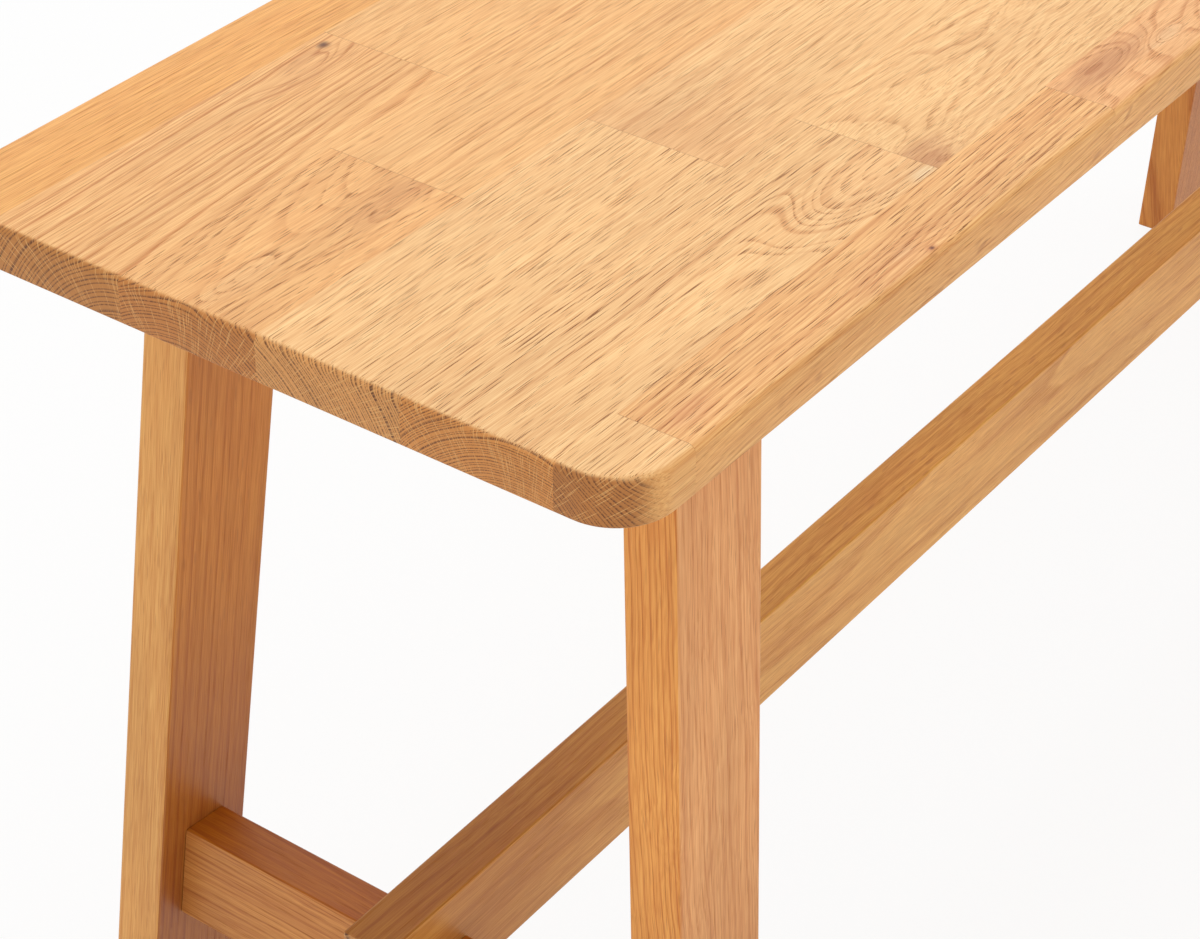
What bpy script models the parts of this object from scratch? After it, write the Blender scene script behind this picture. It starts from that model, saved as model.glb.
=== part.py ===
"""Oak bench: a seat panel of glued staves on two leaning trestles, tied by one long stretcher.

Metres, +Z up. The origin is on the floor under the middle of the seat, and +X runs along the seat.
"""
import math

import bmesh
import bpy
from mathutils import Matrix, Vector

# Driving dimensions
SEAT_LENGTH = 1.060
SEAT_WIDTH = 0.300
SEAT_THICKNESS = 0.018
BENCH_HEIGHT = 0.480
STOCK = 0.022                   # thickness of legs, rails, battens and stretcher
SPLAY = math.radians(5.0)       # lean of every leg, both across the bench and along it
FIT_GAP = 0.0003                # clearance between pieces that touch, and at each glue line
CUT_OVERRUN = 0.010             # how far a cutter runs past the face it enters

# Seat panel
CORNER_RADIUS = 0.022
TOP_ROUND = 0.003
LOWER_EASE = 0.001
STAVE_WIDTH = 0.059
FIRST_ROW_WIDTH = 0.029         # the trimmed row along one long edge
LEAST_ROW_WIDTH = 0.015         # the narrowest row left along the other
END_JOINT_SHARES = (            # butt joints along each row, as shares of the seat's length
    (0.0307, 0.2755, 0.540, 0.790),
    (0.2061, 0.475, 0.745),
    (0.1656, 0.420, 0.690),
    (0.1000, 0.360, 0.615, 0.880),
    (0.1618, 0.440, 0.720),
    (0.2350, 0.510, 0.775),
)

# Legs
LEG_WIDTH = 0.050
LEG_END_INSET = 0.074           # seat end to the leg's end face, at the seat's underside
LEG_SIDE_INSET = 0.0367         # seat's long edge to the leg's outer face, at the underside
EDGE_EASE = 0.001

# Lower rail, top batten and stretcher
RAIL_TOP_HEIGHT = 0.1623        # floor to the middle of the rail's top
RAIL_DEPTH = 0.045
BATTEN_DEPTH = 0.040
STRETCHER_DEPTH = 0.048
STRETCHER_RISE = 0.0243         # the stretcher's top above the middle of the rail's top
STRETCHER_TAIL = 0.025          # what shows of the stretcher past the rail's outer face

# Mortise and tenon
TENON_THICKNESS = 0.008
TENON_LENGTH = 0.014
TENON_SHOULDER = 0.008          # above and below the tenon
MORTISE_SPARE = 0.0008          # glue space past the tenon's end

# Seat bolts, with washers in a counterbore and threaded inserts in the seat
BOLT_SPACING = 0.090
BOLT_RADIUS = 0.003
BOLT_HEAD_RADIUS = 0.0054
BOLT_HEAD_HEIGHT = 0.0034
BOLT_HEAD_CROWN = 0.0026        # radius of the flat on the button head
SOCKET_RADIUS = 0.0023
SOCKET_DEPTH = 0.002
WASHER_RADIUS = 0.006
WASHER_THICKNESS = 0.0016
COUNTERBORE_RADIUS = 0.0066
COUNTERBORE_DEPTH = 0.010
SLOT_PLAY = 0.002               # travel each way, for the seat's movement across its grain
INSERT_RADIUS = 0.005
INSERT_LENGTH = 0.012
INSERT_LEAD = 0.001             # chamfer at the insert's leading end
HOLE_SPARE = 0.001              # depth of a blind hole past what it holds

# Lap screws, up through the rail into the stretcher
SCREW_RADIUS = 0.0025
SCREW_HEAD_RADIUS = 0.0045
SCREW_HEAD_HEIGHT = 0.0025
SCREW_BITE = 0.018              # length of screw in the stretcher
SCREW_TIP = 0.005
SCREW_RECESS = 0.010            # counterbore in the rail's underside
SCREW_CUP_RADIUS = 0.0055

# Smoothness of round forms
CORNER_STEPS = 10
ROUND_STEPS = 4
EASE_STEPS = 2
TURNED_SIDES = 24
SMOOTH_ANGLE = math.radians(35)
ALONG_SHARE = 0.95              # how much of an edge's direction lies on an axis that it runs along

# Worked out from the driving dimensions
UNDERSIDE = BENCH_HEIGHT - SEAT_THICKNESS
LEG_TILT = math.atan(math.tan(SPLAY) * math.cos(SPLAY))    # splay as seen square to the trestle
LEG_SPREAD = SEAT_WIDTH / 2 - LEG_SIDE_INSET - STOCK / math.cos(LEG_TILT) / 2
TRESTLE_REACH = SEAT_LENGTH / 2 - LEG_END_INSET - LEG_WIDTH / math.cos(SPLAY) / 2
RAIL_TOP = (RAIL_TOP_HEIGHT - UNDERSIDE) / math.cos(SPLAY)     # along the trestle's own Z
STRETCHER_TOP_HEIGHT = RAIL_TOP_HEIGHT + STRETCHER_RISE
STRETCHER_BASE = (STRETCHER_TOP_HEIGHT - STRETCHER_DEPTH - UNDERSIDE) / math.cos(SPLAY)
LAP_LEVEL = (RAIL_TOP + STRETCHER_BASE) / 2                    # halfway through the overlap
BOLT_REACH = TRESTLE_REACH + BATTEN_DEPTH / 2 * math.tan(SPLAY)
BOLT_SEAT = UNDERSIDE - BATTEN_DEPTH + COUNTERBORE_DEPTH       # roof of the counterbore

SEAT_TONES = ("#E9B47E", "#E2AA70", "#EDBB86", "#DFA56C", "#E6AF76")
LEG_TONES = {"1_left": "#CF9753", "1_right": "#CB9260", "2_left": "#C98F55", "2_right": "#C48A50"}


def clear_scene():
    for old in list(bpy.data.objects):
        bpy.data.objects.remove(old, do_unlink=True)


def linear(tone):
    """An sRGB hex colour as the linear colour that a shader takes."""
    parts = [int(tone[i:i + 2], 16) / 255 for i in (1, 3, 5)]
    return [c / 12.92 if c <= 0.04045 else ((c + 0.055) / 1.055) ** 2.4 for c in parts] + [1.0]


def make_material(name, tone, roughness, metallic):
    material = bpy.data.materials.new(name)
    material.use_nodes = True
    shader = material.node_tree.nodes["Principled BSDF"]
    shader.inputs["Base Color"].default_value = linear(tone)
    shader.inputs["Roughness"].default_value = roughness
    shader.inputs["Metallic"].default_value = metallic
    return material


def oiled_oak(name, tone):
    return make_material(name, tone, roughness=0.5, metallic=0.0)


def zinc_steel(name):
    return make_material(name, "#B9BCBE", roughness=0.35, metallic=1.0)


def block(low, high):
    """A plain block between two opposite corners."""
    bm = bmesh.new()
    bmesh.ops.create_cube(bm, size=1)
    low, high = Vector(low), Vector(high)
    bmesh.ops.scale(bm, vec=high - low, verts=bm.verts)
    bmesh.ops.translate(bm, vec=(high + low) / 2, verts=bm.verts)
    return bm


def saw(bm, point, normal):
    """Take away all on the normal's side of a plane, and close the cut."""
    everything = bm.verts[:] + bm.edges[:] + bm.faces[:]
    result = bmesh.ops.bisect_plane(bm, geom=everything, plane_co=point, plane_no=normal, clear_outer=True)
    rim = [item for item in result["geom_cut"] if isinstance(item, bmesh.types.BMEdge)]
    bmesh.ops.holes_fill(bm, edges=rim, sides=0)


def saw_level(bm, frame, height, upwards):
    """A level cut at a height in the world, on a piece whose own frame is given."""
    point = frame.inverted() @ Vector((0, 0, height))
    normal = frame.to_3x3().inverted() @ Vector((0, 0, 1 if upwards else -1))
    saw(bm, point, normal)


def ease(bm, edges, width, steps):
    bmesh.ops.bevel(bm, geom=edges, offset=width, offset_type="OFFSET", segments=steps, profile=0.5,
                    affect="EDGES", clamp_overlap=True)


def runs_along(edge, axis):
    """True where an edge runs along one axis of its piece's own frame."""
    direction = (edge.verts[1].co - edge.verts[0].co).normalized()
    return abs(direction[axis]) > ALONG_SHARE


def lathe(profile):
    """A turned solid from (radius, height) points, from its lower end on the axis to its upper end."""
    bm = bmesh.new()
    points = [bm.verts.new((radius, 0, height)) for radius, height in profile]
    line = [bm.edges.new(pair) for pair in zip(points, points[1:])]
    bmesh.ops.spin(bm, geom=points + line, cent=(0, 0, 0), axis=(0, 0, 1), angle=2 * math.pi,
                   steps=TURNED_SIDES, use_merge=True)
    bmesh.ops.remove_doubles(bm, verts=bm.verts, dist=FIT_GAP / 10)
    return bm


def ring(inner, outer, low, high, lead=0.0):
    """A turned sleeve with a through bore, and a chamfer at its upper outer edge."""
    bm = bmesh.new()
    corners = [(inner, low), (outer, low), (outer, high - lead), (outer - lead, high), (inner, high)]
    if lead == 0:
        corners.pop(3)
    points = [bm.verts.new((radius, 0, height)) for radius, height in corners]
    line = [bm.edges.new(pair) for pair in zip(points, points[1:] + points[:1])]
    bmesh.ops.spin(bm, geom=points + line, cent=(0, 0, 0), axis=(0, 0, 1), angle=2 * math.pi,
                   steps=TURNED_SIDES, use_merge=True)
    bmesh.ops.remove_doubles(bm, verts=bm.verts, dist=FIT_GAP / 10)
    return bm


def add_piece(name, bm, material, parent=None, place=None):
    """A named piece from a mesh, placed in its parent's frame."""
    bmesh.ops.recalc_face_normals(bm, faces=bm.faces)
    mesh = bpy.data.meshes.new(name)
    bm.to_mesh(mesh)
    bm.free()
    mesh.shade_smooth()
    mesh.set_sharp_from_angle(angle=SMOOTH_ANGLE)
    if material:
        mesh.materials.append(material)
    piece = bpy.data.objects.new(name, mesh)
    bpy.context.scene.collection.objects.link(piece)
    if parent:
        piece.parent = parent
    if place:
        piece.matrix_local = place
    return piece


def add_cutter(name, bm, parent=None, place=None):
    cutter = add_piece(name, bm, None, parent, place)
    cutter.hide_render = True
    cutter.display_type = "WIRE"
    return cutter


def shape_with(piece, cutter, operation):
    """Cut or join one piece with another shape, as a live modifier."""
    change = piece.modifiers.new(cutter.name, "BOOLEAN")
    change.operation = operation
    change.object = cutter
    change.solver = "EXACT"


def drill(name, radius, low, high, parent=None, place=None, play=0.0):
    """A round cutter from low to high on its own Z; play lengthens it along Y into a slot."""
    bm = bmesh.new()
    bmesh.ops.create_cone(bm, cap_ends=True, segments=TURNED_SIDES, radius1=radius, radius2=radius,
                          depth=high - low)
    bmesh.ops.translate(bm, vec=(0, 0, (high + low) / 2), verts=bm.verts)
    for vert in bm.verts:
        if abs(vert.co.y) > FIT_GAP:
            vert.co.y += math.copysign(play, vert.co.y)
    return add_cutter(name, bm, parent, place)


# Seat panel: six rows of oak staves, glued edge to edge and butted end to end

def seat_blank():
    """The whole panel as one slab, with its rounded corners, round-over and eased lower edge."""
    bm = block((-SEAT_LENGTH / 2, -SEAT_WIDTH / 2, UNDERSIDE), (SEAT_LENGTH / 2, SEAT_WIDTH / 2, BENCH_HEIGHT))
    ease(bm, [edge for edge in bm.edges if runs_along(edge, 2)], CORNER_RADIUS, CORNER_STEPS)
    middle = (UNDERSIDE + BENCH_HEIGHT) / 2
    rims = [edge for edge in bm.edges if not runs_along(edge, 2)]
    ease(bm, [edge for edge in rims if edge.verts[0].co.z > middle], TOP_ROUND, ROUND_STEPS)
    rims = [edge for edge in bm.edges if not runs_along(edge, 2) and edge.verts[0].co.z < middle]
    ease(bm, [edge for edge in rims if edge.verts[1].co.z < middle], LOWER_EASE, EASE_STEPS)
    return bm


def row_edges():
    """Where the long glue lines lie: full staves in the middle, a trimmed row along each edge."""
    edges = [-SEAT_WIDTH / 2, FIRST_ROW_WIDTH - SEAT_WIDTH / 2]
    while edges[-1] + STAVE_WIDTH < SEAT_WIDTH / 2 - LEAST_ROW_WIDTH:
        edges.append(edges[-1] + STAVE_WIDTH)
    return edges + [SEAT_WIDTH / 2]


def insert_places():
    """World matrices of the four seat bolts, two over each batten."""
    return {
        f"{number}_{word}": Matrix.Translation((end * BOLT_REACH, end * side * BOLT_SPACING / 2, 0))
        for number, end in ((1, -1), (2, 1))
        for word, side in (("left", -1), ("right", 1))
    }


def cut_stave(blank, low, high):
    """One stave sawn from the slab; a glue line takes half its gap from each side."""
    bm = blank.copy()
    half_gap = FIT_GAP / 2
    for axis, limit in ((0, SEAT_LENGTH / 2), (1, SEAT_WIDTH / 2)):
        for bound, sign in ((low[axis], -1), (high[axis], 1)):
            if abs(bound) < limit - half_gap:
                point, normal = Vector((0, 0, 0)), Vector((0, 0, 0))
                point[axis] = bound - sign * half_gap
                normal[axis] = sign
                saw(bm, point, normal)
    return bm


def build_seat():
    blank = seat_blank()
    hole_radius = INSERT_RADIUS + FIT_GAP
    hole_top = UNDERSIDE + INSERT_LENGTH + HOLE_SPARE
    holes = [drill(f"insert_hole_{key}", hole_radius, UNDERSIDE - CUT_OVERRUN, hole_top, place=place)
             for key, place in insert_places().items()]
    edges = row_edges()
    for row, (low_y, high_y) in enumerate(zip(edges, edges[1:])):
        shares = END_JOINT_SHARES[row % len(END_JOINT_SHARES)]
        ends = [(share - 0.5) * SEAT_LENGTH for share in (0, *shares, 1)]
        for number, (low_x, high_x) in enumerate(zip(ends, ends[1:])):
            name = f"seat_stave_{row + 1}_{number + 1}"
            tone = SEAT_TONES[(row * 3 + number * 2) % len(SEAT_TONES)]
            bm = cut_stave(blank, (low_x, low_y), (high_x, high_y))
            stave = add_piece(name, bm, oiled_oak(f"oak_{name}", tone))
            for hole in holes:
                x, y = hole.location.xy
                if low_x < x + hole_radius and x - hole_radius < high_x and \
                        low_y < y + hole_radius and y - hole_radius < high_y:
                    shape_with(stave, hole, "DIFFERENCE")
    blank.free()


# Trestles: two splayed legs, a lower rail and a top batten, all leaning outwards together

def trestle_frame(end):
    """World matrix of one trestle: origin between its leg tops, Z up its leaning plane."""
    turn = Matrix.Rotation(math.pi if end > 0 else 0, 4, "Z")
    return turn @ Matrix.Translation((-TRESTLE_REACH, 0, UNDERSIDE)) @ Matrix.Rotation(SPLAY, 4, "Y")


def leg_frame(side):
    """A leg's own frame in its trestle: origin on the leg's middle line at the seat's underside."""
    return Matrix.Translation((0, side * LEG_SPREAD, 0)) @ Matrix.Rotation(side * LEG_TILT, 4, "X")


def inner_face(height):
    """How far the legs' inner faces stand from the middle, at a height on the trestle's own Z."""
    return LEG_SPREAD - STOCK / math.cos(LEG_TILT) / 2 - height * math.tan(LEG_TILT)


def tenon_bar(low, high, allowance, spare):
    """A bar through a crosspiece whose ends are its tenons; with an allowance it cuts the mortises."""
    reach = inner_face((low + high) / 2) + TENON_LENGTH + spare
    half = TENON_THICKNESS / 2 + allowance
    return block((-half, -reach, low - allowance), (half, reach, high + allowance))


def crosspiece(top, depth):
    """A rail's or batten's body: shoulders cut to lie against the splayed legs, long edges eased."""
    reach = inner_face(top - depth) + CUT_OVERRUN
    bm = block((-STOCK / 2, -reach, top - depth), (STOCK / 2, reach, top))
    for side in (-1, 1):
        normal = Vector((0, side * math.cos(LEG_TILT), math.sin(LEG_TILT)))
        point = Vector((0, side * (inner_face(top) - FIT_GAP / math.cos(LEG_TILT)), top))
        saw(bm, point, normal)
    ease(bm, [edge for edge in bm.edges if runs_along(edge, 1)], EDGE_EASE, EASE_STEPS)
    return bm


def build_leg(name, tone, trestle, side, mortises):
    place = leg_frame(side)
    world = trestle.matrix_world @ place
    length = UNDERSIDE / math.cos(SPLAY) / math.cos(LEG_TILT)
    bm = block((-LEG_WIDTH / 2, -STOCK / 2, -length - CUT_OVERRUN), (LEG_WIDTH / 2, STOCK / 2, CUT_OVERRUN))
    saw_level(bm, world, UNDERSIDE - FIT_GAP, upwards=True)
    saw_level(bm, world, 0, upwards=False)
    foot = [edge for edge in bm.edges if all(vert.co.z < -length / 2 for vert in edge.verts)]
    long_edges = [edge for edge in bm.edges if runs_along(edge, 2)]
    ease(bm, foot + long_edges, EDGE_EASE, EASE_STEPS)
    leg = add_piece(name, bm, oiled_oak(f"oak_{name}", tone), trestle, place)
    for mortise in mortises:
        shape_with(leg, mortise, "DIFFERENCE")


def build_rail(number, trestle):
    low, high = RAIL_TOP - RAIL_DEPTH + TENON_SHOULDER, RAIL_TOP - TENON_SHOULDER
    material = oiled_oak(f"oak_lower_rail_{number}", "#BC804C")
    rail = add_piece(f"lower_rail_{number}", crosspiece(RAIL_TOP, RAIL_DEPTH), material, trestle)
    tenons = add_cutter(f"rail_tenons_{number}", tenon_bar(low, high, 0, 0), trestle)
    shape_with(rail, tenons, "UNION")
    half = STOCK / 2 + FIT_GAP
    notch = block((-STOCK, -half, LAP_LEVEL - FIT_GAP / 2), (STOCK, half, RAIL_TOP + CUT_OVERRUN))
    shape_with(rail, add_cutter(f"rail_notch_{number}", notch, trestle), "DIFFERENCE")
    base = RAIL_TOP - RAIL_DEPTH
    cup = drill(f"screw_cup_{number}", SCREW_CUP_RADIUS, base - CUT_OVERRUN, base + SCREW_RECESS, trestle)
    hole = drill(f"screw_hole_{number}", SCREW_RADIUS + FIT_GAP, base, LAP_LEVEL + CUT_OVERRUN, trestle)
    shape_with(rail, cup, "DIFFERENCE")
    shape_with(rail, hole, "DIFFERENCE")
    return add_cutter(f"rail_mortises_{number}", tenon_bar(low, high, FIT_GAP, MORTISE_SPARE), trestle)


def build_batten(number, trestle, end):
    """The batten under the seat: its top is planed level, and its bolt holes stand upright."""
    low, high = TENON_SHOULDER - BATTEN_DEPTH, -TENON_SHOULDER
    bm = crosspiece(STOCK * math.tan(SPLAY), BATTEN_DEPTH + STOCK * math.tan(SPLAY))
    saw_level(bm, trestle.matrix_world, UNDERSIDE - FIT_GAP, upwards=True)
    material = oiled_oak(f"oak_top_batten_{number}", "#BE8450")
    batten = add_piece(f"top_batten_{number}", bm, material, trestle)
    tenons = add_cutter(f"batten_tenons_{number}", tenon_bar(low, high, 0, 0), trestle)
    shape_with(batten, tenons, "UNION")
    for key, place in insert_places().items():
        if key.startswith(f"{number}_"):
            slot = drill(f"bolt_slot_{key}", BOLT_RADIUS + FIT_GAP, BOLT_SEAT - CUT_OVERRUN,
                         UNDERSIDE + CUT_OVERRUN, place=place, play=SLOT_PLAY)
            cup = drill(f"bolt_cup_{key}", COUNTERBORE_RADIUS, BOLT_SEAT - BATTEN_DEPTH, BOLT_SEAT,
                        place=place, play=SLOT_PLAY)
            shape_with(batten, slot, "DIFFERENCE")
            shape_with(batten, cup, "DIFFERENCE")
    return add_cutter(f"batten_mortises_{number}", tenon_bar(low, high, FIT_GAP, MORTISE_SPARE), trestle)


def build_trestle(number, end):
    trestle = bpy.data.objects.new(f"trestle_{number}", None)
    bpy.context.scene.collection.objects.link(trestle)
    trestle.matrix_world = trestle_frame(end)
    mortises = [build_rail(number, trestle), build_batten(number, trestle, end)]
    for word, side in (("left", 1), ("right", -1)):
        key = f"{number}_{word}"
        build_leg(f"leg_{key}", LEG_TONES[key], trestle, side, mortises)
    return trestle


# Stretcher: one long bar on edge, half-lapped over both rails

def build_stretcher(trestles):
    top = STRETCHER_TOP_HEIGHT
    rail_x = TRESTLE_REACH + (UNDERSIDE - top + STRETCHER_DEPTH / 2) * math.tan(SPLAY)
    reach = rail_x + STOCK / math.cos(SPLAY) / 2 + STRETCHER_TAIL
    bm = block((-reach, -STOCK / 2, top - STRETCHER_DEPTH), (reach, STOCK / 2, top))
    ease(bm, bm.edges[:], EDGE_EASE, EASE_STEPS)
    stretcher = add_piece("stretcher", bm, oiled_oak("oak_stretcher", "#C58C55"))
    half = STOCK / 2 + FIT_GAP
    for number, trestle in trestles.items():
        notch = block((-half, -STOCK, STRETCHER_BASE - CUT_OVERRUN), (half, STOCK, LAP_LEVEL + FIT_GAP / 2))
        shape_with(stretcher, add_cutter(f"stretcher_notch_{number}", notch, trestle), "DIFFERENCE")
        pilot = drill(f"screw_pilot_{number}", SCREW_RADIUS + FIT_GAP, LAP_LEVEL - CUT_OVERRUN,
                      LAP_LEVEL + SCREW_BITE + HOLE_SPARE, trestle)
        shape_with(stretcher, pilot, "DIFFERENCE")


# Hardware: seat bolts with washers and inserts, and the two lap screws

def build_seat_bolts():
    steel = zinc_steel("zinc_plated_bolt")
    washer_steel = zinc_steel("zinc_plated_washer")
    insert_steel = zinc_steel("zinc_plated_insert")
    washer_top = BOLT_SEAT - FIT_GAP
    washer_low = washer_top - WASHER_THICKNESS
    head_top = washer_low - FIT_GAP
    head_low = head_top - BOLT_HEAD_HEIGHT
    bolt_end = UNDERSIDE + INSERT_LENGTH - HOLE_SPARE
    bolt_profile = [(0, head_low), (BOLT_HEAD_CROWN, head_low),
                    (BOLT_HEAD_RADIUS, head_top - SOCKET_DEPTH / 2), (BOLT_HEAD_RADIUS, head_top),
                    (BOLT_RADIUS, head_top), (BOLT_RADIUS, bolt_end), (0, bolt_end)]
    for key, place in insert_places().items():
        bolt = add_piece(f"seat_bolt_{key}", lathe(bolt_profile), steel, place=place)
        socket = bmesh.new()
        bmesh.ops.create_cone(socket, cap_ends=True, segments=6, radius1=SOCKET_RADIUS,
                              radius2=SOCKET_RADIUS, depth=2 * SOCKET_DEPTH)
        bmesh.ops.translate(socket, vec=(0, 0, head_low), verts=socket.verts)
        shape_with(bolt, add_cutter(f"bolt_socket_{key}", socket, place=place), "DIFFERENCE")
        bore = BOLT_RADIUS + FIT_GAP
        add_piece(f"bolt_washer_{key}", ring(bore, WASHER_RADIUS, washer_low, washer_top), washer_steel,
                  place=place)
        sleeve = ring(bore, INSERT_RADIUS, UNDERSIDE, UNDERSIDE + INSERT_LENGTH, INSERT_LEAD)
        add_piece(f"seat_insert_{key}", sleeve, insert_steel, place=place)


def build_lap_screws(trestles):
    steel = zinc_steel("zinc_plated_screw")
    head_top = RAIL_TOP - RAIL_DEPTH + SCREW_RECESS - FIT_GAP
    tip = LAP_LEVEL + SCREW_BITE
    profile = [(0, head_top - SCREW_HEAD_HEIGHT), (SCREW_HEAD_RADIUS, head_top - SCREW_HEAD_HEIGHT),
               (SCREW_HEAD_RADIUS, head_top), (SCREW_RADIUS, head_top), (SCREW_RADIUS, tip - SCREW_TIP),
               (0, tip)]
    for number, trestle in trestles.items():
        add_piece(f"lap_screw_{number}", lathe(profile), steel, trestle)


clear_scene()
build_seat()
trestle_by_number = {1: build_trestle(1, -1), 2: build_trestle(2, 1)}
build_stretcher(trestle_by_number)
build_seat_bolts()
build_lap_screws(trestle_by_number)
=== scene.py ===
import math

import bmesh
import bpy
from mathutils import Matrix, Vector


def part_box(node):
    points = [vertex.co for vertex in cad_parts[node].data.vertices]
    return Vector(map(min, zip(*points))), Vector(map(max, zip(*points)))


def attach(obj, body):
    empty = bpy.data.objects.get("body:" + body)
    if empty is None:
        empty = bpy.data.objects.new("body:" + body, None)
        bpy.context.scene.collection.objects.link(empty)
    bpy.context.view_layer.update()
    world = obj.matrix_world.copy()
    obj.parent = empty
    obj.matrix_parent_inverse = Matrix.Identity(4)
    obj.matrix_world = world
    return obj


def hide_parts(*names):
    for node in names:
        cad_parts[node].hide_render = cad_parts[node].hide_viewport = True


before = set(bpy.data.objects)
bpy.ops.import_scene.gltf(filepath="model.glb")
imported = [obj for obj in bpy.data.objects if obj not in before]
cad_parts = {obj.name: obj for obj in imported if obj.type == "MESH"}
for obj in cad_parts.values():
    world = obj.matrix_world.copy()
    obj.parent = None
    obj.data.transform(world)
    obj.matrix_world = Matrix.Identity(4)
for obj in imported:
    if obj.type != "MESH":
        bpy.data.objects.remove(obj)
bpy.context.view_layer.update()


# Camera
# A long lens a little under a metre from the near corner, looking down along the seat.
# The photograph shows the near end of the bench and runs off the far end.

IMAGE_WIDTH = 1200
SENSOR_WIDTH = 36.0
FOCAL_PIXELS = 3030.0
CAMERA_PLACE = (-1.1100, -0.5673, 0.9948)
CAMERA_TURN = (54.761, 0.084, -53.576)

camera_data = bpy.data.cameras.new("photo_camera")
camera_data.sensor_fit = "HORIZONTAL"
camera_data.sensor_width = SENSOR_WIDTH
camera_data.lens = FOCAL_PIXELS / IMAGE_WIDTH * SENSOR_WIDTH
camera = bpy.data.objects.new("photo_camera", camera_data)
camera.location = CAMERA_PLACE
camera.rotation_euler = [math.radians(angle) for angle in CAMERA_TURN]
bpy.context.scene.collection.objects.link(camera)
bpy.context.scene.camera = camera


# Seat panel
# A solid panel of oiled oak, made of short staves glued edge to edge and butted end to end in six
# rows, planed and sanded as one, with its corners rounded and its top edge rounded over.

SEAT_LENGTH, SEAT_WIDTH, SEAT_THICKNESS = 1.060, 0.300, 0.018
SEAT_TOP = 0.480
SEAT_UNDERSIDE = SEAT_TOP - SEAT_THICKNESS
CORNER_RADIUS, TOP_ROUND, LOWER_EASE = 0.022, 0.003, 0.001
CORNER_STEPS, TOP_STEPS, LOWER_STEPS = 16, 6, 3
FIRST_ROW, ROW_WIDTH, ROWS = 0.029, 0.059, 6
MM = 0.001
SMOOTH_ANGLE = math.radians(30)

# How near to a plane, and how nearly in line with the upright, an edge counts as on it
HAIR = 0.01 * MM
IN_LINE = 0.99


def shape(piece, kind, chosen, operator, **settings):
    """Works with one edit-mode operator on the edges or faces, as kind says, that a test chooses."""
    bpy.ops.object.select_all(action="DESELECT")
    piece.select_set(True)
    bpy.context.view_layer.objects.active = piece
    bpy.ops.object.mode_set(mode="EDIT")
    bpy.ops.mesh.select_mode(type="EDGE")
    bpy.ops.mesh.select_all(action="DESELECT")
    mesh = bmesh.from_edit_mesh(piece.data)
    for item in getattr(mesh, kind):
        if chosen(item):
            item.select_set(True)
    mesh.select_flush_mode()
    bmesh.update_edit_mesh(piece.data)
    operator(**settings)
    bpy.ops.object.mode_set(mode="OBJECT")


def start_block(name, low, high):
    """A plain block between two corners, with its size applied: the blank that a piece is cut from."""
    bpy.ops.object.select_all(action="DESELECT")
    bpy.ops.mesh.primitive_cube_add(size=1, location=(Vector(low) + Vector(high)) / 2)
    blank = bpy.context.object
    blank.name = blank.data.name = name
    blank.scale = Vector(high) - Vector(low)
    bpy.ops.object.transform_apply(location=True, rotation=True, scale=True)
    return blank


def upright_edges(edge):
    run = edge.verts[1].co - edge.verts[0].co
    return abs(run.normalized().z) > IN_LINE


def top_rim_edges(edge):
    return all(vert.co.z > SEAT_TOP - HAIR for vert in edge.verts)


def lower_rim_edges(edge):
    return all(vert.co.z < SEAT_UNDERSIDE + HAIR for vert in edge.verts)


def all_faces(face):
    return True


panel = start_block("oak_seat_panel", (-SEAT_LENGTH / 2, -SEAT_WIDTH / 2, SEAT_UNDERSIDE),
                    (SEAT_LENGTH / 2, SEAT_WIDTH / 2, SEAT_TOP))
for edges, size, steps in ((upright_edges, CORNER_RADIUS, CORNER_STEPS),
                           (top_rim_edges, TOP_ROUND, TOP_STEPS),
                           (lower_rim_edges, LOWER_EASE, LOWER_STEPS)):
    shape(panel, "edges", edges, bpy.ops.mesh.bevel, offset=size, segments=steps, affect="EDGES")

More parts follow.
